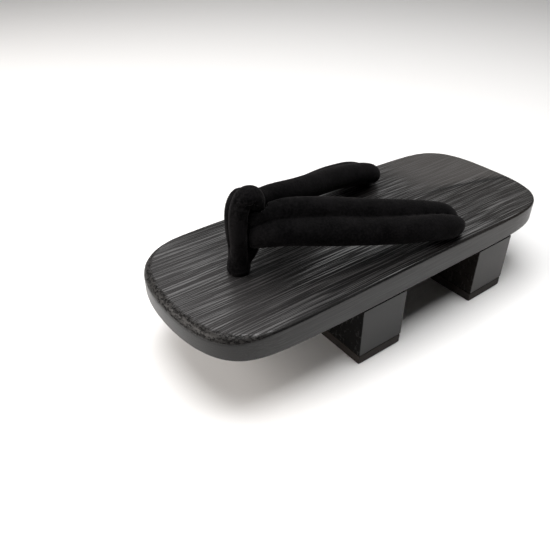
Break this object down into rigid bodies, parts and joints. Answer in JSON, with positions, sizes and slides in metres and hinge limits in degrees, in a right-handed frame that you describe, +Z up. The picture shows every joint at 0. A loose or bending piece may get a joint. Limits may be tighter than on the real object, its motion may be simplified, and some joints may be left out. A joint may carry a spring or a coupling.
{
  "type": "geta sandal",
  "caption": "Wooden sandal: a flat round-ended foot board raised on crosswise teeth, held to the foot by a padded V-shaped thong strap and a toe loop.",
  "frame": {"origin": "on the floor, under the middle of the board", "axes": "+Y towards the toe, +Z up, +X to the wearer's right"},
  "size_m": [0.1, 0.25, 0.1013],
  "materials": {
    "black_wood": "black stain on brushed, open grain, satin",
    "tread_rubber": "matte brown-black",
    "black_velvet": "matte cotton velvet over soft padding",
    "tie_cord": "matte twisted cord"
  },
  "bodies": {
    "root": {"board": "black_wood", "front_tooth": "black_wood", "rear_tooth": "black_wood", "front_tread": "tread_rubber", "rear_tread": "tread_rubber", "thong_strap": "black_velvet", "toe_loop": "black_velvet", "front_knot": "tie_cord", "rear_tie": "tie_cord"}
  },
  "joints": []
}
